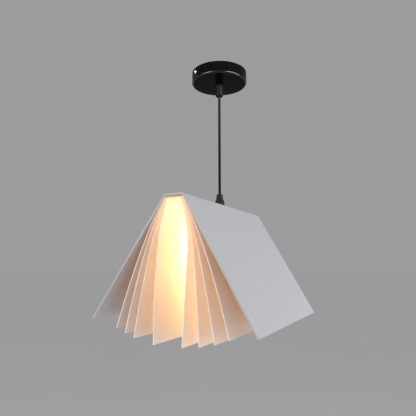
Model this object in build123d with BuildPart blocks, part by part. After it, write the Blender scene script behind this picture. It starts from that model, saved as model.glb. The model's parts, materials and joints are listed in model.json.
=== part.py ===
from build123d import *
from math import asin, cos, radians, sin, sqrt, tan
import os

os.makedirs("parts", exist_ok=True)

# Pendant light with a shade like an open book hung spine up, in millimetres.
# The origin is the middle of the ceiling face, +Z is up and the spine runs along Y.

# Ceiling canopy and its bracket
canopy_radius = 48.0
canopy_height = 20.0
canopy_wall = 1.2
canopy_rim_radius = 2.6
bracket_azimuth = 58.0
bracket_width = 18.0
bracket_thickness = 1.5
bracket_gap = 0.4
ceiling_hole_radius = 2.5
ceiling_hole_pcd = 60.0
tab_width = 12.0
tab_drop = 15.0
side_screw_drop = 8.5
side_screw_radius = 1.95
side_screw_reach = 7.0
side_screw_head_radius = 3.3
side_screw_head_height = 2.6
slot_width = 0.9
slot_depth = 0.9

# Terminal block under the bracket
block_size_along = 14.0
block_size_across = 20.0
block_size_high = 10.0
block_offset = 19.5
block_pole_spacing = 10.0
block_corner_radius = 1.5
block_bore_radius = 1.5
block_bore_depth = 4.5
block_screw_radius = 1.6
block_screw_length = 2.6
block_screw_recess = 0.4
block_screw_spacing = 7.0

# Cord and its cores
cord_length = 175.0
cord_radius = 2.2
core_radius = 0.9
core_spread = 1.1
cord_end_gap = 1.3
cord_end_reach = 1.0
canopy_core_bend = 2.2

# Cord grips, threaded rod and nuts
grip_bore_clearance = 0.3
grip_mouth_radius = 3.3
grip_mouth_depth = 1.6
upper_grip_radius = 6.65
upper_grip_length = 22.0
upper_grip_groove_height = 8.0
upper_lock_height = 13.5
grip_chamfer = 0.6
groove_width = 0.8
groove_depth = 0.5
lower_grip_height = 20.0
lower_grip_base_radius = 8.0
lower_grip_base_height = 7.0
lower_grip_waist_radius = 5.9
lower_grip_waist_height = 11.5
lower_grip_top_radius = 5.0
lower_grip_top_round = 1.2
lower_grip_thread_depth = 9.5
lower_lock_depth = 5.8
lock_screw_radius = 1.5
lock_screw_tip_gap = 0.45
lock_screw_recess = 0.4
rod_end_gap = 0.5
thread_radius = 5.0
thread_bore = 3.0
thread_clearance = 0.05
hole_clearance = 0.2
upper_thread_reach = 7.5
nut_across_flats = 14.0
nut_height = 3.0
nut_chamfer_angle = 30.0
washer_thickness = 1.0
top_washer_radius = 8.0
bottom_washer_radius = 7.8
swivel_gap = 0.2

# Cover and page sheets, measured across the fold
shade_length = 300.0
cover_thickness = 2.5
cover_leaf = 212.0
cover_half_spine = 15.0
cover_angle_left = 34.9
cover_angle_right = 29.8
page_thickness = 1.1
page_leaf = 198.0
page_upper_leaf = 75.0
page_inset = 1.0
fold_inner_radius = 0.8
fold_gap = 0.25

# Each page sheet: angle of the leaf at the fold, then how far its upper and lower stretch curve down
page_left = [(33.5, 10.5, 5.5), (30.5, 12.0, 6.0), (26.5, 13.0, 4.2), (19.5, 15.7, 4.2)]
page_right = [(29.2, 8.5, 7.0), (26.9, 14.5, 2.5), (25.0, 19.8, 2.2), (20.8, 23.6, 1.4)]

# Lampholder, depths measured down from the clamp nut
holder_gap = 0.3
holder_neck_radius = 7.0
holder_radius = 14.0
holder_wall = 1.6
holder_dome_height = 15.0
holder_cap_height = 23.0
holder_neck_height = 8.5
holder_neck_wall = 2.0
holder_body_height = 30.0
holder_lip_radius = 8.7
holder_lip_thickness = 2.0
holder_edge_round = 1.2
flute_count = 24
flute_radius = 0.7
flute_margin = 1.0
insert_thickness = 6.0
insert_clearance = 0.1
thread_shell_radius = 7.05
thread_shell_wall = 0.4
thread_shell_length = 20.0
contact_length = 9.0
contact_width = 4.0
contact_thickness = 0.5
contact_rise = 2.0
terminal_side = 5.0
terminal_height = 6.0
terminal_offset = 6.2
terminal_screw_radius = 1.4
terminal_screw_length = 1.8
sheath_reach = 0.6
core_lead = 2.2
core_bend = 1.1

# Bulb with a small screw cap
bulb_seat_gap = 0.2
bulb_cap_radius = 6.95
bulb_cap_length = 17.0
bulb_cap_collar = 1.0
bulb_tip_radius = 2.4
bulb_tip_height = 1.5
bulb_contact_round = 0.9
bulb_insulator_height = 2.8
bulb_insulator_radius = 5.2
bulb_collar_radius = 8.0
bulb_collar_height = 2.4
bulb_radius = 17.5
bulb_wall = 1.0
bulb_belly_depth = 28.0
bulb_length = 70.0
bulb_tip_round = 5.0
bulb_tip_rise = 2.75
bulb_neck_flare = 0.25

# Levels worked out from the sizes above
canopy_inner_radius = canopy_radius - canopy_wall
upper_pivot_z = -canopy_height - upper_grip_length
lower_pivot_z = upper_pivot_z - cord_length
grip_bottom_z = lower_pivot_z - lower_grip_height
top_washer_z = grip_bottom_z - swivel_gap
spine_top_z = top_washer_z - washer_thickness
page_count = len(page_left)
spine_bottom_z = spine_top_z - cover_thickness - page_count * page_thickness
clamp_washer_z = spine_bottom_z - washer_thickness
clamp_nut_z = clamp_washer_z - nut_height
holder_top_z = clamp_nut_z - holder_gap
rod_bottom_z = holder_top_z - holder_neck_height
holder_body_z = holder_top_z - holder_cap_height
insert_top_z = holder_body_z - insert_clearance
insert_bottom_z = insert_top_z - insert_thickness
contact_tip_z = insert_bottom_z - contact_rise
bulb_top_z = contact_tip_z - bulb_seat_gap
bulb_cap_top_z = bulb_top_z - bulb_tip_height - bulb_insulator_height
bulb_collar_z = bulb_cap_top_z - bulb_cap_length
bulb_neck_z = bulb_collar_z - bulb_collar_height - bulb_cap_collar

grip_bore = cord_radius + grip_bore_clearance
bracket_direction = (cos(radians(bracket_azimuth)), sin(radians(bracket_azimuth)), 0)
bracket_plane = Plane(origin=(0, 0, 0), x_dir=bracket_direction, z_dir=(0, 0, 1))
side_screw_plane = Plane(origin=(0, 0, -side_screw_drop), x_dir=(0, 0, 1), z_dir=bracket_direction)


def ring(radius, bore, bottom_z, height):
    """Add a plain ring about the vertical axis to the open part."""
    with BuildSketch(Plane.XY.offset(bottom_z)) as profile:
        Circle(radius)
        Circle(bore, mode=Mode.SUBTRACT)
    extrude(profile.sketch, amount=height)


def hex_nut(bottom_z):
    """Add a thin hexagonal nut for the hollow threaded rod, its corners turned down at both ends."""
    with BuildSketch(Plane.XY.offset(bottom_z)) as profile:
        RegularPolygon(nut_across_flats / 2, 6, major_radius=False)
        Circle(thread_radius + thread_clearance, mode=Mode.SUBTRACT)
    extrude(profile.sketch, amount=nut_height)
    flat = nut_across_flats / 2
    corner = flat / cos(radians(30))
    turned = (corner - flat) * tan(radians(nut_chamfer_angle))
    with BuildSketch(Plane.XZ) as blank:
        with BuildLine():
            Polyline(
                (0, bottom_z),
                (flat, bottom_z),
                (corner, bottom_z + turned),
                (corner, bottom_z + nut_height - turned),
                (flat, bottom_z + nut_height),
                (0, bottom_z + nut_height),
                close=True,
            )
        make_face()
    revolve(blank.sketch, axis=Axis.Z, mode=Mode.INTERSECT)


def driver_slots(plane, places, diameter, depth):
    """Cut a straight driver slot across each round screw end that lies on a plane."""
    with BuildSketch(plane) as profile:
        with Locations(*places):
            Rectangle(diameter, slot_width)
    extrude(profile.sketch, amount=depth, mode=Mode.SUBTRACT)


def groove(radius, level_z):
    """Turn a shallow groove round a barrel on the vertical axis."""
    with BuildSketch(Plane.XY.offset(level_z - groove_width / 2)) as profile:
        Circle(radius)
        Circle(radius - groove_depth, mode=Mode.SUBTRACT)
    extrude(profile.sketch, amount=groove_width, mode=Mode.SUBTRACT)


def leaf_edges(side, top_z, half_width, angle, stretches, thickness):
    """Draw one half of a folded sheet, from the middle of the spine to the free edge of its leaf.

    side is +1 or -1, half_width reaches the sharp outer corner, angle is the leaf's angle from the
    vertical where it leaves the fold, and stretches lists (length, turn towards the vertical).
    """
    fold_turn = 90.0 - angle
    corner = (fold_inner_radius + thickness) * tan(radians(fold_turn / 2))
    fold_length = (fold_inner_radius + thickness / 2) * radians(fold_turn)
    x, z, heading = 0.0, top_z - thickness / 2, 0.0
    moves = [(half_width - corner, 0.0), (fold_length, fold_turn)] + stretches
    for length, turn in moves:
        stations = []
        for share in (0.0, 0.5, 1.0):
            at = heading + turn * share
            if turn:
                radius = length / radians(turn)
                px = x + radius * (sin(radians(at)) - sin(radians(heading)))
                pz = z - radius * (cos(radians(heading)) - cos(radians(at)))
            else:
                px = x + length * share * cos(radians(heading))
                pz = z - length * share * sin(radians(heading))
            stations.append((px, pz, at))
        for face in (0.5, -0.5):
            shift = face * thickness
            line = [(side * (px + shift * sin(radians(at))), pz + shift * cos(radians(at)))
                    for px, pz, at in stations]
            if turn:
                ThreePointArc(*line)
            else:
                Line(line[0], line[2])
        x, z, heading = stations[2]
    ends = [(side * (x + shift * sin(radians(heading))), z + shift * cos(radians(heading)))
            for shift in (thickness / 2, -thickness / 2)]
    Line(*ends)


def corner_width(half_width, angle, thickness):
    """Half width of the next sheet inside a fold, which leaves the fold gap beside it."""
    return half_width - thickness * (1 / cos(radians(angle)) - tan(radians(angle))) - fold_gap


def save(builder, name):
    """Label a finished piece and write it out."""
    builder.part.label = name
    export_step(builder.part, f"parts/{name}.step")


# Ceiling bracket: a strap with two round ceiling holes and a threaded tab at each end
strap_reach = canopy_inner_radius - bracket_gap
tab_outer = sqrt(strap_reach**2 - (tab_width / 2) ** 2)
with BuildPart() as ceiling_bracket:
    with BuildSketch(bracket_plane):
        Circle(strap_reach)
        Rectangle(2 * strap_reach, bracket_width, mode=Mode.INTERSECT)
        with PolarLocations(ceiling_hole_pcd / 2, 2):
            Circle(ceiling_hole_radius, mode=Mode.SUBTRACT)
    extrude(amount=-bracket_thickness)
    with BuildSketch(bracket_plane.offset(-bracket_thickness)):
        with PolarLocations(tab_outer - bracket_thickness / 2, 2):
            Rectangle(bracket_thickness, tab_width)
    extrude(amount=-(tab_drop - bracket_thickness))
    with BuildSketch(side_screw_plane):
        Circle(side_screw_radius + thread_clearance)
    extrude(amount=canopy_radius, both=True, mode=Mode.SUBTRACT)
save(ceiling_bracket, "ceiling_bracket")

# Canopy: a thin spun cup with a rounded lower rim, open towards the ceiling
with BuildPart() as canopy:
    with BuildSketch(Plane.XY.offset(-canopy_height)):
        Circle(canopy_radius)
    extrude(amount=canopy_height)
    fillet(canopy.edges().group_by(Axis.Z)[0], canopy_rim_radius)
    offset(amount=-canopy_wall, openings=canopy.faces().sort_by(Axis.Z)[-1])
    with BuildSketch(Plane.XY.offset(-canopy_height)):
        Circle(thread_radius + hole_clearance)
    extrude(amount=canopy_wall, mode=Mode.SUBTRACT)
    with BuildSketch(side_screw_plane):
        Circle(side_screw_radius + hole_clearance)
    extrude(amount=canopy_radius, both=True, mode=Mode.SUBTRACT)
save(canopy, "canopy")

# Two side screws with domed heads hold the canopy to the bracket's tabs
head_edge = side_screw_head_height / 3
dome_rise = side_screw_head_height - head_edge
dome_radius = (side_screw_head_radius**2 + dome_rise**2) / (2 * dome_rise)
dome_centre = canopy_radius + side_screw_head_height - dome_radius
dome_half = asin(side_screw_head_radius / dome_radius) / 2
with BuildPart() as canopy_side_screws:
    for turn in (0, 180):
        screw_azimuth = bracket_azimuth + turn
        screw_plane = Plane(
            origin=(0, 0, -side_screw_drop),
            x_dir=(cos(radians(screw_azimuth)), sin(radians(screw_azimuth)), 0),
            z_dir=(-sin(radians(screw_azimuth)), cos(radians(screw_azimuth)), 0),
        )
        with BuildSketch(screw_plane):
            with BuildLine():
                Polyline(
                    (canopy_radius - side_screw_reach, 0),
                    (canopy_radius - side_screw_reach, side_screw_radius),
                    (canopy_radius, side_screw_radius),
                    (canopy_radius, side_screw_head_radius),
                    (canopy_radius + head_edge, side_screw_head_radius),
                )
                ThreePointArc(
                    (canopy_radius + head_edge, side_screw_head_radius),
                    (dome_centre + dome_radius * cos(dome_half), dome_radius * sin(dome_half)),
                    (canopy_radius + side_screw_head_height, 0),
                )
                Line(
                    (canopy_radius + side_screw_head_height, 0),
                    (canopy_radius - side_screw_reach, 0),
                )
            make_face()
        revolve(axis=Axis(screw_plane.origin, screw_plane.x_dir))
        head_top = screw_plane.origin + screw_plane.x_dir * (canopy_radius + side_screw_head_height)
        driver_slots(Plane(origin=head_top, x_dir=(0, 0, 1), z_dir=screw_plane.x_dir), [(0, 0)],
                     2 * side_screw_head_radius, -slot_depth)
save(canopy_side_screws, "canopy_side_screws")

# Upper cord grip: a turned barrel with a male thread through the canopy and a bell mouth below
with BuildPart() as upper_cord_grip:
    ring(upper_grip_radius, grip_bore, upper_pivot_z, upper_grip_length)
    chamfer(upper_cord_grip.edges().filter_by(GeomType.CIRCLE).sort_by(SortBy.RADIUS)[-2:], grip_chamfer)
    groove(upper_grip_radius, upper_pivot_z + upper_grip_groove_height)
    ring(thread_radius, grip_bore, -canopy_height, upper_thread_reach)
    with BuildSketch(Plane.XZ):
        with BuildLine():
            Polyline(
                (0, upper_pivot_z),
                (grip_mouth_radius, upper_pivot_z),
                (grip_bore, upper_pivot_z + grip_mouth_depth),
                (0, upper_pivot_z + grip_mouth_depth),
                close=True,
            )
        make_face()
    revolve(axis=Axis.Z, mode=Mode.SUBTRACT)
    upper_lock_z = upper_pivot_z + upper_lock_height
    with BuildSketch(Plane(origin=(0, 0, upper_lock_z), z_dir=(-1, 0, 0))):
        Circle(lock_screw_radius + thread_clearance)
    extrude(amount=upper_grip_radius, mode=Mode.SUBTRACT)
save(upper_cord_grip, "upper_cord_grip")

# Thin nut that clamps the upper grip to the canopy floor
with BuildPart() as upper_grip_nut:
    hex_nut(-canopy_height + canopy_wall)
save(upper_grip_nut, "upper_grip_nut")


def lock_screw(level_z, outer_radius):
    """Add a slotted headless screw along -X, between the cord and just under the grip's surface."""
    outer_end = outer_radius - lock_screw_recess
    end_plane = Plane(origin=(-outer_end, 0, level_z), x_dir=(0, 0, 1), z_dir=(1, 0, 0))
    with BuildSketch(end_plane) as profile:
        Circle(lock_screw_radius)
    extrude(profile.sketch, amount=outer_end - cord_radius - lock_screw_tip_gap)
    driver_slots(end_plane, [(0, 0)], 2 * lock_screw_radius, slot_depth)


with BuildPart() as upper_grip_lock_screw:
    lock_screw(upper_lock_z, upper_grip_radius)
save(upper_grip_lock_screw, "upper_grip_lock_screw")

# Terminal block on the strap's underside, with a bore for each pole and wells for its screws
block_bottom_z = -bracket_thickness - block_size_high
block_bore_z = -bracket_thickness - block_bore_depth
block_plane = Plane(
    origin=bracket_plane.from_local_coords(Vector(-block_offset, 0, block_bottom_z)),
    x_dir=bracket_direction,
    z_dir=(0, 0, 1),
)
with BuildPart() as terminal_block:
    with BuildSketch(block_plane):
        RectangleRounded(block_size_along, block_size_across, block_corner_radius)
    extrude(amount=block_size_high)
    bore_plane = Plane(
        origin=bracket_plane.from_local_coords(Vector(-block_offset, 0, block_bore_z)),
        x_dir=(-bracket_direction[1], bracket_direction[0], 0),
        z_dir=bracket_direction,
    )
    with BuildSketch(bore_plane):
        with GridLocations(block_pole_spacing, 0, 2, 1):
            Circle(block_bore_radius)
    extrude(amount=block_size_along, both=True, mode=Mode.SUBTRACT)
    with BuildSketch(block_plane):
        with GridLocations(block_screw_spacing, block_pole_spacing, 2, 2):
            Circle(block_screw_radius + hole_clearance)
    extrude(amount=block_size_high - block_bore_depth, mode=Mode.SUBTRACT)
save(terminal_block, "terminal_block")

with BuildPart() as terminal_block_screws:
    screw_end_plane = block_plane.offset(block_screw_recess)
    with BuildSketch(screw_end_plane):
        with GridLocations(block_screw_spacing, block_pole_spacing, 2, 2):
            Circle(block_screw_radius)
    extrude(amount=block_screw_length)
    screw_places = [(along * block_screw_spacing / 2, across * block_pole_spacing / 2)
                    for along in (-1, 1) for across in (-1, 1)]
    driver_slots(screw_end_plane, screw_places, 2 * block_screw_radius, slot_depth)
save(terminal_block_screws, "terminal_block_screws")

# Cord inside the upper grip, and its two cores to the terminal block
cord_top_z = -canopy_height + upper_thread_reach + cord_end_reach
with BuildPart() as cord_in_canopy:
    with BuildSketch(Plane.XY.offset(upper_pivot_z + cord_end_gap)):
        Circle(cord_radius)
    extrude(amount=cord_top_z - upper_pivot_z - cord_end_gap)
save(cord_in_canopy, "cord_in_canopy")

with BuildPart() as canopy_cores:
    for side in (-1, 1):
        core_points = [
            bracket_plane.from_local_coords(Vector(0, side * core_spread, cord_top_z)),
            bracket_plane.from_local_coords(Vector(0, side * core_spread, block_bore_z)),
            bracket_plane.from_local_coords(
                Vector(-block_offset + block_size_along / 2, side * block_pole_spacing / 2, block_bore_z)
            ),
        ]
        with BuildLine() as core_line:
            FilletPolyline(*core_points, radius=canopy_core_bend)
        with BuildSketch(Plane.XY.offset(cord_top_z)):
            with Locations((core_points[0].X, core_points[0].Y)):
                Circle(core_radius)
        sweep(path=core_line.line)
save(canopy_cores, "canopy_cores")

# Hanging cord: one straight taut run from the upper mouth to the lower one
with BuildPart() as hanging_cord:
    with BuildSketch(Plane.XY.offset(lower_pivot_z)):
        Circle(cord_radius)
    extrude(amount=cord_length)
save(hanging_cord, "hanging_cord")

# Lower cord grip: a stepped cone that screws onto the threaded rod
with BuildPart() as lower_cord_grip:
    with BuildSketch(Plane.XZ):
        with BuildLine():
            Polyline(
                (grip_bore, grip_bottom_z),
                (lower_grip_base_radius, grip_bottom_z),
                (lower_grip_base_radius, grip_bottom_z + lower_grip_base_height),
                (lower_grip_waist_radius, grip_bottom_z + lower_grip_waist_height),
                (lower_grip_top_radius, lower_pivot_z),
                (grip_mouth_radius, lower_pivot_z),
                (grip_bore, lower_pivot_z - grip_mouth_depth),
                close=True,
            )
        make_face()
    revolve(axis=Axis.Z)
    fillet(lower_cord_grip.edges().group_by(Axis.Z)[-1].sort_by(SortBy.RADIUS)[-1], lower_grip_top_round)
    with BuildSketch(Plane.XY.offset(grip_bottom_z)):
        Circle(thread_radius + thread_clearance)
    extrude(amount=lower_grip_thread_depth, mode=Mode.SUBTRACT)
    lower_lock_z = lower_pivot_z - lower_lock_depth
    with BuildSketch(Plane(origin=(0, 0, lower_lock_z), z_dir=(-1, 0, 0))):
        Circle(lock_screw_radius + thread_clearance)
    extrude(amount=lower_grip_base_radius, mode=Mode.SUBTRACT)
save(lower_cord_grip, "lower_cord_grip")

with BuildPart() as lower_grip_lock_screw:
    lock_screw(lower_lock_z, lower_grip_top_radius)
save(lower_grip_lock_screw, "lower_grip_lock_screw")

# Hollow threaded rod with the washers and the nut that clamp the sheets' spines
rod_top_z = grip_bottom_z + lower_grip_thread_depth - rod_end_gap
with BuildPart() as threaded_rod:
    ring(thread_radius, thread_bore, rod_bottom_z, rod_top_z - rod_bottom_z)
save(threaded_rod, "threaded_rod")

with BuildPart() as top_washer:
    ring(top_washer_radius, thread_radius + hole_clearance, spine_top_z, washer_thickness)
save(top_washer, "top_washer")

with BuildPart() as bottom_washer:
    ring(bottom_washer_radius, thread_radius + hole_clearance, clamp_washer_z, washer_thickness)
save(bottom_washer, "bottom_washer")

with BuildPart() as clamp_nut:
    hex_nut(clamp_nut_z)
save(clamp_nut, "clamp_nut")


def spine_hole(top_z, thickness):
    """Cut the hole for the threaded rod through the middle of a sheet's spine."""
    with BuildSketch(Plane.XY.offset(top_z)) as profile:
        Circle(thread_radius + hole_clearance)
    extrude(profile.sketch, amount=-thickness, mode=Mode.SUBTRACT)


# Outer cover: one stiff sheet folded twice, with two flat leaves and a flat spine between them
with BuildPart() as cover_sheet:
    with BuildSketch(Plane.XZ):
        with BuildLine():
            for side, angle in ((-1, cover_angle_left), (1, cover_angle_right)):
                fold_corner = (fold_inner_radius + cover_thickness) * tan(radians((90 - angle) / 2))
                leaf_edges(side, spine_top_z, cover_half_spine, angle,
                           [(cover_leaf - fold_corner, 0.0)], cover_thickness)
        make_face()
    extrude(amount=shade_length / 2, both=True)
    spine_hole(spine_top_z, cover_thickness)
save(cover_sheet, "cover_sheet")

# Page sheets: thin folded sheets nested in the cover's fold, whose leaves fan out and curve down
left_corner = corner_width(cover_half_spine, cover_angle_left, cover_thickness)
right_corner = corner_width(cover_half_spine, cover_angle_right, cover_thickness)
page_lower_leaf = page_leaf - page_upper_leaf
for number, (left, right) in enumerate(zip(page_left, page_right), start=1):
    page_top_z = spine_top_z - cover_thickness - (number - 1) * page_thickness
    with BuildPart() as page_sheet:
        with BuildSketch(Plane.XZ):
            with BuildLine():
                for side, corner, leaf in ((-1, left_corner, left), (1, right_corner, right)):
                    angle, upper_turn, lower_turn = leaf
                    leaf_edges(side, page_top_z, corner, angle,
                               [(page_upper_leaf, upper_turn), (page_lower_leaf, lower_turn)],
                               page_thickness)
            make_face()
        extrude(amount=shade_length / 2 - page_inset, both=True)
        spine_hole(page_top_z, page_thickness)
    save(page_sheet, f"page_sheet_{number}")
    left_corner = corner_width(left_corner, left[0], page_thickness)
    right_corner = corner_width(right_corner, right[0], page_thickness)

# Lampholder cap: a domed shell with a threaded neck
dome_z = holder_top_z - holder_dome_height
neck_foot = (thread_radius + holder_neck_wall, holder_top_z - holder_neck_height)
with BuildPart() as holder_cap:
    with BuildSketch(Plane.XZ):
        with BuildLine():
            TangentArc((holder_radius, dome_z), (holder_neck_radius, holder_top_z), tangent=(0, 1))
            TangentArc((holder_radius - holder_wall, dome_z), neck_foot, tangent=(0, 1))
            Polyline(
                (holder_radius, dome_z),
                (holder_radius, holder_body_z),
                (holder_radius - holder_wall, holder_body_z),
                (holder_radius - holder_wall, dome_z),
            )
            Polyline(
                neck_foot,
                (thread_radius + thread_clearance, holder_top_z - holder_neck_height),
                (thread_radius + thread_clearance, holder_top_z),
                (holder_neck_radius, holder_top_z),
            )
        make_face()
    revolve(axis=Axis.Z)
    with BuildSketch(Plane.XY.offset(holder_body_z + flute_margin)):
        with PolarLocations(holder_radius, flute_count):
            Circle(flute_radius)
    extrude(amount=dome_z - holder_body_z - 2 * flute_margin, mode=Mode.SUBTRACT)
save(holder_cap, "holder_cap")

# Lampholder body: a tube with a lip round its mouth
body_bottom_z = holder_body_z - holder_body_height
with BuildPart() as holder_body:
    ring(holder_radius, holder_radius - holder_wall, body_bottom_z, holder_body_height)
    ring(holder_radius, holder_lip_radius, body_bottom_z, holder_lip_thickness)
    fillet(holder_body.edges().group_by(Axis.Z)[0].sort_by(SortBy.RADIUS)[-1], holder_edge_round)
save(holder_body, "holder_body")

# Contact carrier, its thread shell, centre contact, terminals and their screws
with BuildPart() as holder_insert:
    with BuildSketch(Plane.XY.offset(insert_bottom_z)):
        Circle(holder_radius - holder_wall - insert_clearance)
    extrude(amount=insert_thickness)
save(holder_insert, "holder_insert")

with BuildPart() as thread_shell:
    shell_outer = thread_shell_radius + thread_shell_wall
    ring(shell_outer, thread_shell_radius, insert_bottom_z - thread_shell_length, thread_shell_length)
save(thread_shell, "thread_shell")

with BuildPart() as centre_contact:
    with BuildSketch(Plane.XZ):
        with BuildLine():
            Polyline(
                (-contact_length / 2, insert_bottom_z),
                (-contact_length / 2, insert_bottom_z - contact_thickness),
                (0, contact_tip_z),
                (contact_length / 4, contact_tip_z),
                (contact_length / 4, contact_tip_z + contact_thickness),
                (0, contact_tip_z + contact_thickness),
                (-contact_length / 3, insert_bottom_z),
                close=True,
            )
        make_face()
    extrude(amount=contact_width / 2, both=True)
save(centre_contact, "centre_contact")

terminal_top_z = insert_top_z + terminal_height
with BuildPart() as holder_terminals:
    with BuildSketch(Plane.XY.offset(insert_top_z)):
        with GridLocations(2 * terminal_offset, 0, 2, 1):
            Rectangle(terminal_side, terminal_side)
    extrude(amount=terminal_height)
save(holder_terminals, "holder_terminals")

with BuildPart() as holder_terminal_screws:
    for side in (-1, 1):
        with BuildSketch(Plane.XZ.offset(terminal_side / 2)):
            with Locations((side * terminal_offset, insert_top_z + terminal_height / 2)):
                Circle(terminal_screw_radius)
        extrude(amount=terminal_screw_length)
        driver_slots(
            Plane.XZ.offset(terminal_side / 2 + terminal_screw_length),
            [(side * terminal_offset, insert_top_z + terminal_height / 2)],
            2 * terminal_screw_radius,
            -slot_depth,
        )
save(holder_terminal_screws, "holder_terminal_screws")

# Cord inside the lower grip and the rod, and its two cores to the terminals
sheath_end_z = rod_bottom_z - sheath_reach
with BuildPart() as cord_in_holder:
    with BuildSketch(Plane.XY.offset(sheath_end_z)):
        Circle(cord_radius)
    extrude(amount=lower_pivot_z - cord_end_gap - sheath_end_z)
save(cord_in_holder, "cord_in_holder")

with BuildPart() as holder_cores:
    for side in (-1, 1):
        with BuildLine(Plane.XZ) as core_line:
            FilletPolyline(
                (side * core_spread, sheath_end_z),
                (side * core_spread, sheath_end_z - core_lead),
                (side * terminal_offset, terminal_top_z + core_lead),
                (side * terminal_offset, terminal_top_z),
                radius=core_bend,
            )
        with BuildSketch(Plane.XY.offset(sheath_end_z)):
            with Locations((side * core_spread, 0)):
                Circle(core_radius)
        sweep(path=core_line.line)
save(holder_cores, "holder_cores")

# Bulb: contact tip, insulator, screw cap and opal candle envelope
with BuildPart() as bulb_contact:
    with BuildSketch(Plane.XY.offset(bulb_top_z - bulb_tip_height)):
        Circle(bulb_tip_radius)
    extrude(amount=bulb_tip_height)
    fillet(bulb_contact.edges().group_by(Axis.Z)[-1], bulb_contact_round)
save(bulb_contact, "bulb_contact")

with BuildPart() as bulb_insulator:
    with BuildSketch(Plane.XZ):
        with BuildLine():
            Polyline(
                (0, bulb_cap_top_z),
                (bulb_insulator_radius, bulb_cap_top_z),
                (bulb_tip_radius, bulb_top_z - bulb_tip_height),
                (0, bulb_top_z - bulb_tip_height),
                close=True,
            )
        make_face()
    revolve(axis=Axis.Z)
save(bulb_insulator, "bulb_insulator")

with BuildPart() as bulb_cap:
    with BuildSketch(Plane.XZ):
        with BuildLine():
            Polyline(
                (0, bulb_neck_z),
                (bulb_collar_radius, bulb_neck_z),
                (bulb_collar_radius, bulb_neck_z + bulb_collar_height),
                (bulb_cap_radius, bulb_collar_z),
                (bulb_cap_radius, bulb_cap_top_z - bulb_cap_radius + bulb_insulator_radius),
                (bulb_insulator_radius, bulb_cap_top_z),
                (0, bulb_cap_top_z),
                close=True,
            )
        make_face()
    revolve(axis=Axis.Z)
save(bulb_cap, "bulb_cap")

belly_z = bulb_neck_z - bulb_belly_depth
tip_z = bulb_neck_z - bulb_length


def envelope(inset):
    """Draw one face of the candle envelope, drawn in by the wall, and return its two ends."""
    neck = (bulb_collar_radius - inset, bulb_neck_z)
    belly = (bulb_radius - inset, belly_z)
    tip_side = (bulb_tip_round - inset, tip_z + bulb_tip_rise + inset)
    tip = (0, tip_z + inset)
    Spline(neck, belly, tangents=((bulb_neck_flare, -1), (0, -1)))
    Spline(belly, tip_side, tip, tangents=((0, -1), (-1, 0)))
    return neck, tip


with BuildPart() as bulb_envelope:
    with BuildSketch(Plane.XZ):
        with BuildLine():
            outer_neck, outer_tip = envelope(0)
            inner_neck, inner_tip = envelope(bulb_wall)
            Line(outer_neck, inner_neck)
            Line(outer_tip, inner_tip)
        make_face()
    revolve(axis=Axis.Z)
save(bulb_envelope, "bulb_envelope")

print(f"cord run {cord_length} mm, spine top at {spine_top_z:.1f}, bulb tip at {tip_z:.1f}")
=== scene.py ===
import bmesh
import bpy
import json
import math
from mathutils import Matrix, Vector


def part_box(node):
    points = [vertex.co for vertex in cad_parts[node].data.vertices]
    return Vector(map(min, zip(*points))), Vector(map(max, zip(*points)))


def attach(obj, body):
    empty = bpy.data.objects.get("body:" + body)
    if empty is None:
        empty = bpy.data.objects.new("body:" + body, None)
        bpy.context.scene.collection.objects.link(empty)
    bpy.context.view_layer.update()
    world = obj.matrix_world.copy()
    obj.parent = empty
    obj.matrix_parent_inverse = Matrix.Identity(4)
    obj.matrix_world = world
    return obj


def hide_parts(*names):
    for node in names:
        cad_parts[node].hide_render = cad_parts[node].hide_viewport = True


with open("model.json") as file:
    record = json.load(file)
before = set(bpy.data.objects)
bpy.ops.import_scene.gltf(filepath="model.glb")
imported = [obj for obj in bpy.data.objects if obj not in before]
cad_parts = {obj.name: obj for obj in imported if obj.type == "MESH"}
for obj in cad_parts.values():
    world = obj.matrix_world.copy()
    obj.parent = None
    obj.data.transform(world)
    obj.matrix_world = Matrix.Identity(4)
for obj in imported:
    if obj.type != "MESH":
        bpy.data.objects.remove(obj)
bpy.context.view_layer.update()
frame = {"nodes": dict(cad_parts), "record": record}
nodes = frame["nodes"]
scene = bpy.context.scene

# Lengths and levels are in metres. These levels are read from the frame.
upper_mouth_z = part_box("hanging_cord")[1].z
lower_mouth_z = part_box("hanging_cord")[0].z
spine_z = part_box("cover_sheet")[1].z
canopy_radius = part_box("canopy")[1].x
envelope_low, envelope_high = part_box("bulb_envelope")

# Camera, fitted to the photograph: its place from the middle of the spine's top, its angles in
# degrees, its focal length in the photograph's pixels
camera_from_spine = Vector((0.2859, -0.6144, -0.0960))
camera_look_up = 7.89
camera_turn = 26.64
focal_pixels = 403.0
photo_pixels = 416.0
sensor_width_mm = 36.0

cord_diameter = 0.0044

# Heights that the page sheets' painted glow runs between, below the spine's top
glow_start_depth = 0.085
glow_full_depth = 0.005
# Share of the light on a page sheet that comes out on its other side
page_light_through = 0.70

# Rounded edges
edge_segments = 2
edge_angle = 35.0
canopy_rim_reach = 0.0027

# Which faces of a folded sheet are cut edges
end_face_lean = 0.9
leaf_edge_lean = 0.8
leaf_edge_depth = 0.1

# Studio
floor_z = -1.3
floor_radius = 40.0
floor_segments = 64
backdrop = (0.335, 0.335, 0.345)
world_light = 0.50
lamp_colour = (1.0, 0.70, 0.345)
lamp_radius = 0.012


def link_object(name, data):
    """Make an object of some data and put it in the scene."""
    made = bpy.data.objects.new(name, data)
    scene.collection.objects.link(made)
    return made


# Camera at the photograph's viewing angle
def make_camera():
    data = bpy.data.cameras.new("camera")
    data.sensor_width = sensor_width_mm
    data.lens = focal_pixels / photo_pixels * sensor_width_mm
    camera = link_object("camera", data)
    camera.location = Vector((0, 0, spine_z)) + camera_from_spine
    camera.rotation_euler = (math.radians(90 + camera_look_up), 0, math.radians(camera_turn))
    scene.camera = camera


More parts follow.
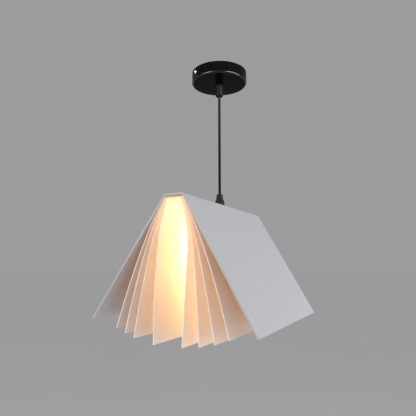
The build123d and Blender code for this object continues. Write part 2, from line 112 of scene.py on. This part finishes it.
# Cord between the two grips
def make_cord():
    """A straight hanging cord: the load keeps it taut between the two bell mouths."""
    middle_z = (upper_mouth_z + lower_mouth_z) / 2
    route = [(0, 0, upper_mouth_z), (0, 0, middle_z), (0, 0, lower_mouth_z)]
    curve = bpy.data.curves.new("hanging_flex", "CURVE")
    curve.dimensions = "3D"
    # The width is in the points' radius, so that no point reaches further than the cord does
    curve.bevel_depth = 1.0
    curve.bevel_resolution = 6
    curve.use_fill_caps = True
    spline = curve.splines.new("NURBS")
    spline.points.add(len(route) - 1)
    for point, place in zip(spline.points, route):
        point.co = (*place, 1)
        point.radius = cord_diameter / 2
    spline.order_u = 3
    spline.use_endpoint_u = True
    cord = link_object("hanging_flex", curve)
    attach(cord, "cord")
    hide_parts("hanging_cord")
    return cord


# Parts of materials
def new_material(name):
    """A material, its node tree and its Principled shader."""
    material = bpy.data.materials.new(name)
    material.use_nodes = True
    return material, material.node_tree, material.node_tree.nodes["Principled BSDF"]


def add_node(tree, kind, **sockets):
    """Add a node and set its input sockets by name."""
    node = tree.nodes.new(kind)
    for key, value in sockets.items():
        node.inputs[key.replace("_", " ")].default_value = value
    return node


def coordinates(tree):
    return tree.nodes.new("ShaderNodeTexCoord").outputs["Object"]


def noise(tree, scale, detail=3.0):
    node = add_node(tree, "ShaderNodeTexNoise", Scale=scale, Detail=detail, Roughness=0.5)
    tree.links.new(coordinates(tree), node.inputs["Vector"])
    return node.outputs["Fac"]


def ramp(tree, factor, stops):
    """Colours along a factor, from stops of place and colour."""
    node = tree.nodes.new("ShaderNodeValToRGB")
    elements = node.color_ramp.elements
    while len(elements) < len(stops):
        elements.new(0.5)
    for element, (place, colour) in zip(elements, stops):
        element.position = place
        element.color = (*colour, 1)
    tree.links.new(factor, node.inputs["Fac"])
    return node.outputs["Color"]


def mottle(tree, factor, low, high):
    """A soft change between two near colours."""
    return ramp(tree, factor, [(0.3, low), (0.7, high)])


def spread(tree, factor, low, high):
    """Map a 0 to 1 factor to a number between low and high."""
    node = add_node(tree, "ShaderNodeMapRange", To_Min=low, To_Max=high)
    tree.links.new(factor, node.inputs["Value"])
    return node.outputs["Result"]


def by_height(tree, start_z, end_z, start=0.0, end=1.0, smooth=False):
    """A number that goes from start to end between two levels of the object."""
    split = tree.nodes.new("ShaderNodeSeparateXYZ")
    tree.links.new(coordinates(tree), split.inputs["Vector"])
    node = add_node(tree, "ShaderNodeMapRange", From_Min=start_z, From_Max=end_z, To_Min=start,
                    To_Max=end)
    if smooth:
        node.interpolation_type = "SMOOTHSTEP"
    tree.links.new(split.outputs["Z"], node.inputs["Value"])
    return node.outputs["Result"]


def add_bump(tree, shader, height, strength, distance):
    node = add_node(tree, "ShaderNodeBump", Strength=strength, Distance=distance)
    tree.links.new(height, node.inputs["Height"])
    tree.links.new(node.outputs["Normal"], shader.inputs["Normal"])


# Materials
def plain_finish(name, low, high, rough, scale, bump, metallic=0.0, coat=0.0, specular=0.5):
    """A finish with soft colour variation, uneven roughness and a fine surface texture."""
    material, tree, shader = new_material(name)
    broad = noise(tree, scale * 0.12)
    fine = noise(tree, scale, detail=4.0)
    tree.links.new(mottle(tree, broad, low, high), shader.inputs["Base Color"])
    tree.links.new(spread(tree, fine, *rough), shader.inputs["Roughness"])
    shader.inputs["Metallic"].default_value = metallic
    shader.inputs["Coat Weight"].default_value = coat
    shader.inputs["Coat Roughness"].default_value = 0.06
    shader.inputs["Specular IOR Level"].default_value = specular
    add_bump(tree, shader, fine, bump, 0.0002)
    return material


def page_finish(name, glow_colour, even_glow, fold_glow):
    """Thin frosted sheet: part of the light turns back and part comes out on the other side, warmer.

    A painted glow, an emission by height, stands in for the light that wanders between the sheets; it
    is stronger up in the lit fold.
    """
    material, tree, shader = new_material(name)
    broad = noise(tree, 14.0)
    fine = noise(tree, 900.0, detail=4.0)
    tree.links.new(mottle(tree, broad, (0.84, 0.81, 0.79), (0.90, 0.87, 0.85)),
                   shader.inputs["Base Color"])
    tree.links.new(spread(tree, fine, 0.42, 0.58), shader.inputs["Roughness"])
    add_bump(tree, shader, fine, 0.05, 0.0001)
    # Painted glow: emission that rises towards the fold
    glow = by_height(tree, spine_z - glow_start_depth, spine_z - glow_full_depth,
                     even_glow, fold_glow, smooth=True)
    tree.links.new(glow, shader.inputs["Emission Strength"])
    shader.inputs["Emission Color"].default_value = (*glow_colour, 1)
    through = tree.nodes.new("ShaderNodeBsdfTranslucent")
    tree.links.new(mottle(tree, broad, (0.95, 0.89, 0.83), (0.99, 0.93, 0.87)),
                   through.inputs["Color"])
    mix = add_node(tree, "ShaderNodeMixShader", Fac=page_light_through)
    tree.links.new(shader.outputs["BSDF"], mix.inputs[1])
    tree.links.new(through.outputs["BSDF"], mix.inputs[2])
    tree.links.new(mix.outputs["Shader"], tree.nodes["Material Output"].inputs["Surface"])
    return material


def edge_finish(name, stops, glow):
    """Cut edge of a sheet, with painted light and shade by the depth below the spine's top, and a
    painted glow in the same colour.
    """
    material, tree, shader = new_material(name)
    deepest = stops[-1][0]
    fall = by_height(tree, spine_z, spine_z - deepest)
    colour = ramp(tree, fall, [(depth / deepest, tone) for depth, tone in stops])
    tree.links.new(colour, shader.inputs["Base Color"])
    tree.links.new(colour, shader.inputs["Emission Color"])
    shader.inputs["Emission Strength"].default_value = glow
    tree.links.new(spread(tree, noise(tree, 900.0), 0.25, 0.4), shader.inputs["Roughness"])
    return material


def bulb_finish():
    """Lit opal envelope: brightest round its belly, dimmer towards the neck."""
    material, tree, shader = new_material("bulb_opal_lit")
    belly_z = envelope_high.z - (envelope_high.z - envelope_low.z) * 0.35
    along = by_height(tree, envelope_high.z, belly_z)
    glow = ramp(tree, along, [(0.0, (0.75, 0.36, 0.13)), (1.0, (1.0, 0.80, 0.50))])
    tree.links.new(glow, shader.inputs["Emission Color"])
    tree.links.new(glow, shader.inputs["Base Color"])
    shader.inputs["Emission Strength"].default_value = 4.0
    tree.links.new(spread(tree, noise(tree, 300.0), 0.2, 0.3), shader.inputs["Roughness"])
    return material


canopy_tones = (0.0022, 0.0023, 0.0023), (0.0034, 0.0035, 0.0035)
# Colour of the page sheets' painted glow
page_glow_colour = (1.0, 0.62, 0.42)

# For each material slot: name, two colours, roughness, texture scale, bump
slot_finishes = {
    "canopy_black": plain_finish("canopy_black_gloss", *canopy_tones,
                                 (0.16, 0.22), 700.0, 0.03, specular=0.03),
    "bracket_steel": plain_finish("zinc_steel", (0.50, 0.50, 0.49), (0.62, 0.62, 0.61),
                                  (0.28, 0.42), 500.0, 0.08, metallic=1.0),
    "chrome": plain_finish("chrome_bright", (0.80, 0.80, 0.81), (0.88, 0.88, 0.88),
                           (0.05, 0.09), 400.0, 0.02, metallic=1.0),
    "grip_black": plain_finish("grip_black_satin", (0.006, 0.0062, 0.0062),
                               (0.009, 0.0092, 0.0092),
                               (0.38, 0.48), 800.0, 0.03, specular=0.12),
    "cord_black": plain_finish("cord_black_sheath", (0.006, 0.006, 0.007), (0.009, 0.009, 0.010),
                               (0.45, 0.55), 1200.0, 0.05, specular=0.12),
    "wire_brown": plain_finish("core_brown", (0.16, 0.06, 0.025), (0.22, 0.09, 0.035),
                               (0.35, 0.5), 900.0, 0.05),
    "block_white": plain_finish("terminal_white", (0.74, 0.74, 0.71), (0.82, 0.82, 0.79),
                                (0.4, 0.55), 700.0, 0.08),
    "brass": plain_finish("brass_warm", (0.62, 0.42, 0.17), (0.74, 0.53, 0.24),
                          (0.22, 0.38), 500.0, 0.06, metallic=1.0),
    "zinc": plain_finish("zinc_bright", (0.55, 0.55, 0.54), (0.68, 0.68, 0.67),
                         (0.22, 0.36), 500.0, 0.06, metallic=1.0),
    "cover_white": plain_finish("cover_white_satin", (0.575, 0.582, 0.607), (0.605, 0.612, 0.637),
                                (0.44, 0.52), 1500.0, 0.01, specular=0.35),
    "page_white": page_finish("page_sheet_outer", page_glow_colour, 0.02, 0.16),
    "holder_black": plain_finish("holder_black", (0.0035, 0.0035, 0.0037), (0.005, 0.005, 0.0053),
                                 (0.38, 0.50), 700.0, 0.08, specular=0.06),
    "ceramic": plain_finish("ceramic_glazed", (0.78, 0.76, 0.70), (0.84, 0.82, 0.77),
                            (0.12, 0.22), 300.0, 0.03, coat=0.4),
    "cap_nickel": plain_finish("cap_nickel", (0.60, 0.59, 0.56), (0.72, 0.71, 0.68),
                               (0.2, 0.32), 500.0, 0.05, metallic=1.0),
    "insulator": plain_finish("insulator_dark", (0.012, 0.012, 0.018), (0.02, 0.02, 0.026),
                              (0.12, 0.2), 400.0, 0.03),
    "bulb_opal": bulb_finish(),
}

# Nodes that differ from the others of their slot: page sheets each with their own painted glow, and a
# lower cord grip painted lighter as if lit
node_finishes = {
    "page_sheet_2": page_finish("page_sheet_second", page_glow_colour, 0.13, 0.36),
    "page_sheet_3": page_finish("page_sheet_third", (1.0, 0.64, 0.42), 0.16, 0.40),
    "page_sheet_4": page_finish("page_sheet_inner", (1.0, 0.80, 0.46), 0.0, 0.55),
    # Lower cord grip: the same black plastic, painted lighter and glossier as a lit copy of the
    # grip's finish
    "lower_cord_grip": plain_finish("grip_black_painted_lit", (0.020, 0.020, 0.021),
                                    (0.028, 0.028, 0.029),
                                    (0.40, 0.50), 800.0, 0.03, specular=0.3),
}
rim_gloss = plain_finish("canopy_black_rim", *canopy_tones,
                         (0.24, 0.27), 700.0, 0.0, specular=0.42)

# Cut edges with painted shade and painted glow, from the shaded spine down past the lit fold to the
# leaves' lower edges
page_edge = edge_finish(
    "page_sheet_edge",
    [(0.0, (0.48, 0.22, 0.09)), (0.0044, (0.50, 0.24, 0.10)), (0.0052, (0.95, 0.74, 0.44)),
     (0.045, (0.88, 0.70, 0.55)), (0.20, (0.90, 0.78, 0.72))],
    0.28,
)
# The cover's cut edges: painted a little lighter than its faces, with a faint painted glow
cover_edge = edge_finish(
    "cover_sheet_edge",
    [(0.0, (0.66, 0.64, 0.62)), (0.05, (0.66, 0.64, 0.63)), (0.18, (0.64, 0.64, 0.65))],
    0.02,
)

# Radius of the rounded edges
edge_radius = {
    "cover_sheet": 0.00035,
    "top_washer": 0.00015,
    "bottom_washer": 0.00015,
    **dict.fromkeys(
        ("page_sheet_1", "page_sheet_2", "page_sheet_3", "page_sheet_4", "canopy",
         "ceiling_bracket", "upper_grip_nut", "clamp_nut", "holder_terminals"),
        0.0002,
    ),
}


# Dressing of the CAD nodes
def dress(piece, finish):
    """Give a piece one finish all over."""
    piece.data.materials.clear()
    piece.data.materials.append(finish)


def soften(piece, radius):
    """Round the sharp edges of a CAD node a little."""
    bevel = piece.modifiers.new("edge", "BEVEL")
    bevel.width = radius
    bevel.segments = edge_segments
    bevel.limit_method = "ANGLE"
    bevel.angle_limit = math.radians(edge_angle)
    bevel.harden_normals = True


def dress_cut_edges(piece, finish):
    """Give the cut faces of a folded sheet, and its rounded edges, the finish of a cut edge."""
    piece.data.materials.append(finish)
    for polygon in piece.data.polygons:
        at_end = abs(polygon.normal.y) > end_face_lean
        faces_down = polygon.normal.z < -leaf_edge_lean
        if at_end or (faces_down and polygon.center.z < spine_z - leaf_edge_depth):
            polygon.material_index = 1
    piece.modifiers["edge"].material = 1


def dress_rim(piece):
    """Give the rounded lower rim of the canopy, between its wall and its flat face, more gloss."""
    piece.data.materials.append(rim_gloss)
    for polygon in piece.data.polygons:
        reach = math.hypot(polygon.center.x, polygon.center.y)
        if reach > canopy_radius - canopy_rim_reach and -0.9995 < polygon.normal.z < -0.0005:
            polygon.material_index = 1


def dress_nodes():
    slots = {row["node"]: row["material_slot"] for row in frame["record"]["subparts"]}
    for node, piece in nodes.items():
        dress(piece, node_finishes.get(node, slot_finishes[slots[node]]))
        for polygon in piece.data.polygons:
            polygon.use_smooth = True
        if node in edge_radius:
            soften(piece, edge_radius[node])
    dress_rim(nodes["canopy"])
    dress_cut_edges(nodes["cover_sheet"], cover_edge)
    for number in range(1, 5):
        dress_cut_edges(nodes[f"page_sheet_{number}"], page_edge)


# Light of the bulb
def bulb_light():
    """Soft lamps along the lamp's axis: the opal envelope and the slim holder let their light out."""
    for node in ("bulb_envelope", "bulb_cap", "holder_body", "holder_cap", "holder_insert",
                 "thread_shell"):
        nodes[node].visible_shadow = False
    # Height over the envelope's top, then watts
    for rise, watts in ((0.050, 0.72), (0.025, 0.85), (0.0, 0.90), (-0.030, 0.55), (-0.055, 0.12)):
        data = bpy.data.lights.new("bulb_light", "POINT")
        data.energy = watts
        data.color = lamp_colour
        data.shadow_soft_size = lamp_radius
        lamp = link_object("bulb_light", data)
        lamp.location = (0, 0, envelope_high.z + rise)
        lamp.visible_camera = False
        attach(lamp, "bulb")


# Studio: pale floor, even world light and soft lamps
def make_floor():
    mesh = bpy.data.meshes.new("floor")
    build = bmesh.new()
    bmesh.ops.create_circle(build, cap_ends=True, segments=floor_segments, radius=floor_radius)
    build.to_mesh(mesh)
    build.free()
    floor = link_object("floor", mesh)
    floor.location = (0, 0, floor_z)
    dress(floor, plain_finish("floor_pale", (0.645, 0.645, 0.66), (0.665, 0.665, 0.68),
                              (0.85, 0.95), 6.0, 0.0, specular=0.1))


def make_world():
    """Diffuse rays meet an even light; the camera, metal and glass see the pale backdrop."""
    world = bpy.data.worlds.new("studio")
    scene.world = world
    world.use_nodes = True
    tree = world.node_tree
    tree.nodes.clear()
    path = tree.nodes.new("ShaderNodeLightPath")
    seen = path.outputs["Is Camera Ray"]
    for kind in ("Is Glossy Ray", "Is Transmission Ray"):
        either = tree.nodes.new("ShaderNodeMath")
        either.operation = "MAXIMUM"
        tree.links.new(seen, either.inputs[0])
        tree.links.new(path.outputs[kind], either.inputs[1])
        seen = either.outputs[0]
    light = add_node(tree, "ShaderNodeBackground", Color=(1, 1, 1, 1), Strength=world_light)
    shown = add_node(tree, "ShaderNodeBackground", Color=(*backdrop, 1), Strength=1.0)
    mix = tree.nodes.new("ShaderNodeMixShader")
    out = tree.nodes.new("ShaderNodeOutputWorld")
    tree.links.new(seen, mix.inputs["Fac"])
    tree.links.new(light.outputs[0], mix.inputs[1])
    tree.links.new(shown.outputs[0], mix.inputs[2])
    tree.links.new(mix.outputs[0], out.inputs["Surface"])


def area_lamp(name, azimuth, distance, height, target_z, size, watts, angle=180.0):
    """A soft box round the object, at an azimuth from +X, that looks at a level on its axis."""
    data = bpy.data.lights.new(name, "AREA")
    data.shape = "RECTANGLE"
    data.size, data.size_y = size
    data.energy = watts
    data.spread = math.radians(angle)
    lamp = link_object(name, data)
    turn = math.radians(azimuth)
    lamp.location = (distance * math.cos(turn), distance * math.sin(turn), height)
    aim = Vector((0, 0, target_z)) - lamp.location
    lamp.rotation_euler = aim.to_track_quat("-Z", "Y").to_euler()
    lamp.visible_camera = False


def studio_lamps():
    area_lamp("key", -15, 1.9, 0.05, -0.25, (1.7, 0.8), 9.6)
    area_lamp("fill", -107, 1.9, 0.15, -0.25, (1.7, 0.8), 7.0)
    area_lamp("low_right", 25, 1.0, -0.70, -0.36, (0.5, 0.5), 3.8)
    # Small lamps in two fans, azimuth and watts, for the two arcs of light on the canopy's rim
    for azimuth, watts in ((-31, 0.045), (-15, 0.055), (1, 0.045), (-122, 0.03), (-107, 0.035)):
        area_lamp(f"rim_{azimuth}", azimuth, 0.5, 0.02, -0.01, (0.14, 0.10), watts, 30.0)


make_camera()
dress_nodes()
dress(make_cord(), slot_finishes["cord_black"])
bulb_light()
make_floor()
make_world()
studio_lamps()
scene.view_settings.view_transform = "Standard"
# The light passes many sheets
scene.cycles.max_bounces = 16
scene.cycles.diffuse_bounces = 14
